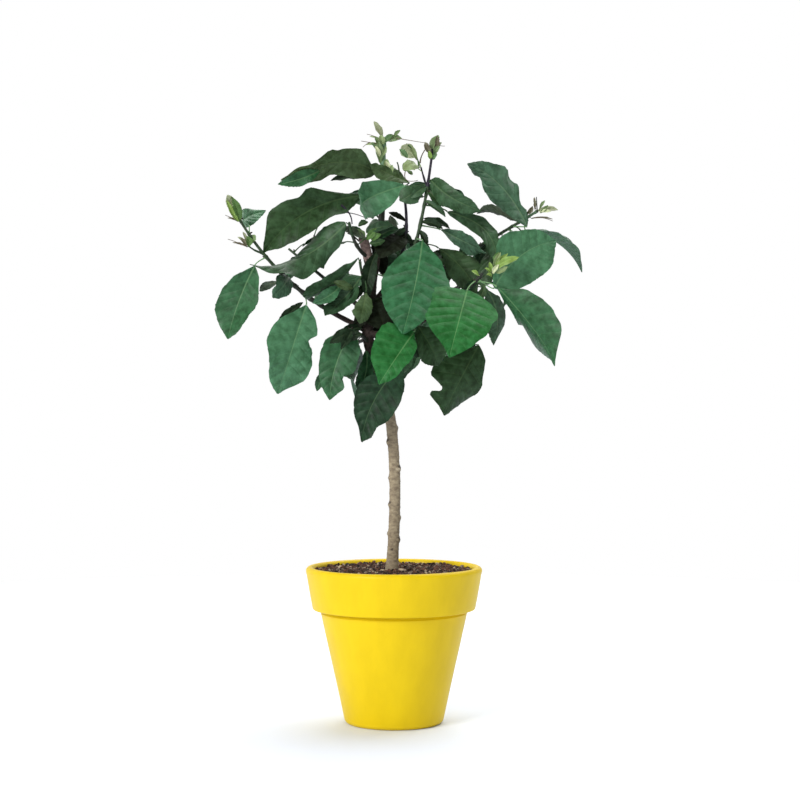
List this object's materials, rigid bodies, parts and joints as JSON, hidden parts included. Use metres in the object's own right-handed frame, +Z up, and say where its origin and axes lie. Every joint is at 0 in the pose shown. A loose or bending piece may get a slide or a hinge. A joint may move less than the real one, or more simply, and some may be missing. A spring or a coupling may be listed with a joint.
{
  "type": "potted_dwarf_plum_tree",
  "caption": "Dwarf plum tree grown as a small standard in a yellow plastic pot: thin grey-brown trunk, forked boughs and an open crown of large hanging green leaves",
  "frame": {"origin": "centre of the pot's flat underside", "axes": "+Z up along the pot's axis; -Y towards the side the picture shows; +X to that view's right"},
  "size_m": [0.4188, 0.314, 0.6848],
  "materials": {
    "yellow_plastic": "moulded polypropylene with a satin skin",
    "dark_compost": "moist bark and compost crumbs",
    "grey_brown_bark": "young plum bark, finely fissured",
    "green_leaf": "waxy leaf, soft sheen"
  },
  "bodies": {
    "root": {"pot": "yellow_plastic", "potting_mix": "dark_compost", "trunk": "grey_brown_bark", "left_bough": "grey_brown_bark", "top_left_bough": "grey_brown_bark", "top_middle_bough": "grey_brown_bark", "top_right_bough": "grey_brown_bark", "right_bough": "grey_brown_bark", "right_low_bough": "grey_brown_bark", "rear_left_bough": "grey_brown_bark", "rear_middle_bough": "grey_brown_bark", "rear_right_bough": "grey_brown_bark", "rear_low_left_bough": "grey_brown_bark", "rear_low_right_bough": "grey_brown_bark", "left_foliage": "green_leaf", "top_left_foliage": "green_leaf", "top_middle_foliage": "green_leaf", "top_right_foliage": "green_leaf", "right_foliage": "green_leaf", "right_low_foliage": "green_leaf", "low_right_foliage": "green_leaf", "front_low_foliage": "green_leaf", "left_low_foliage": "green_leaf", "upper_left_foliage": "green_leaf", "inner_left_foliage": "green_leaf", "rear_left_foliage": "green_leaf", "rear_middle_foliage": "green_leaf", "rear_right_foliage": "green_leaf", "rear_low_left_foliage": "green_leaf", "rear_low_right_foliage": "green_leaf"}
  },
  "joints": []
}
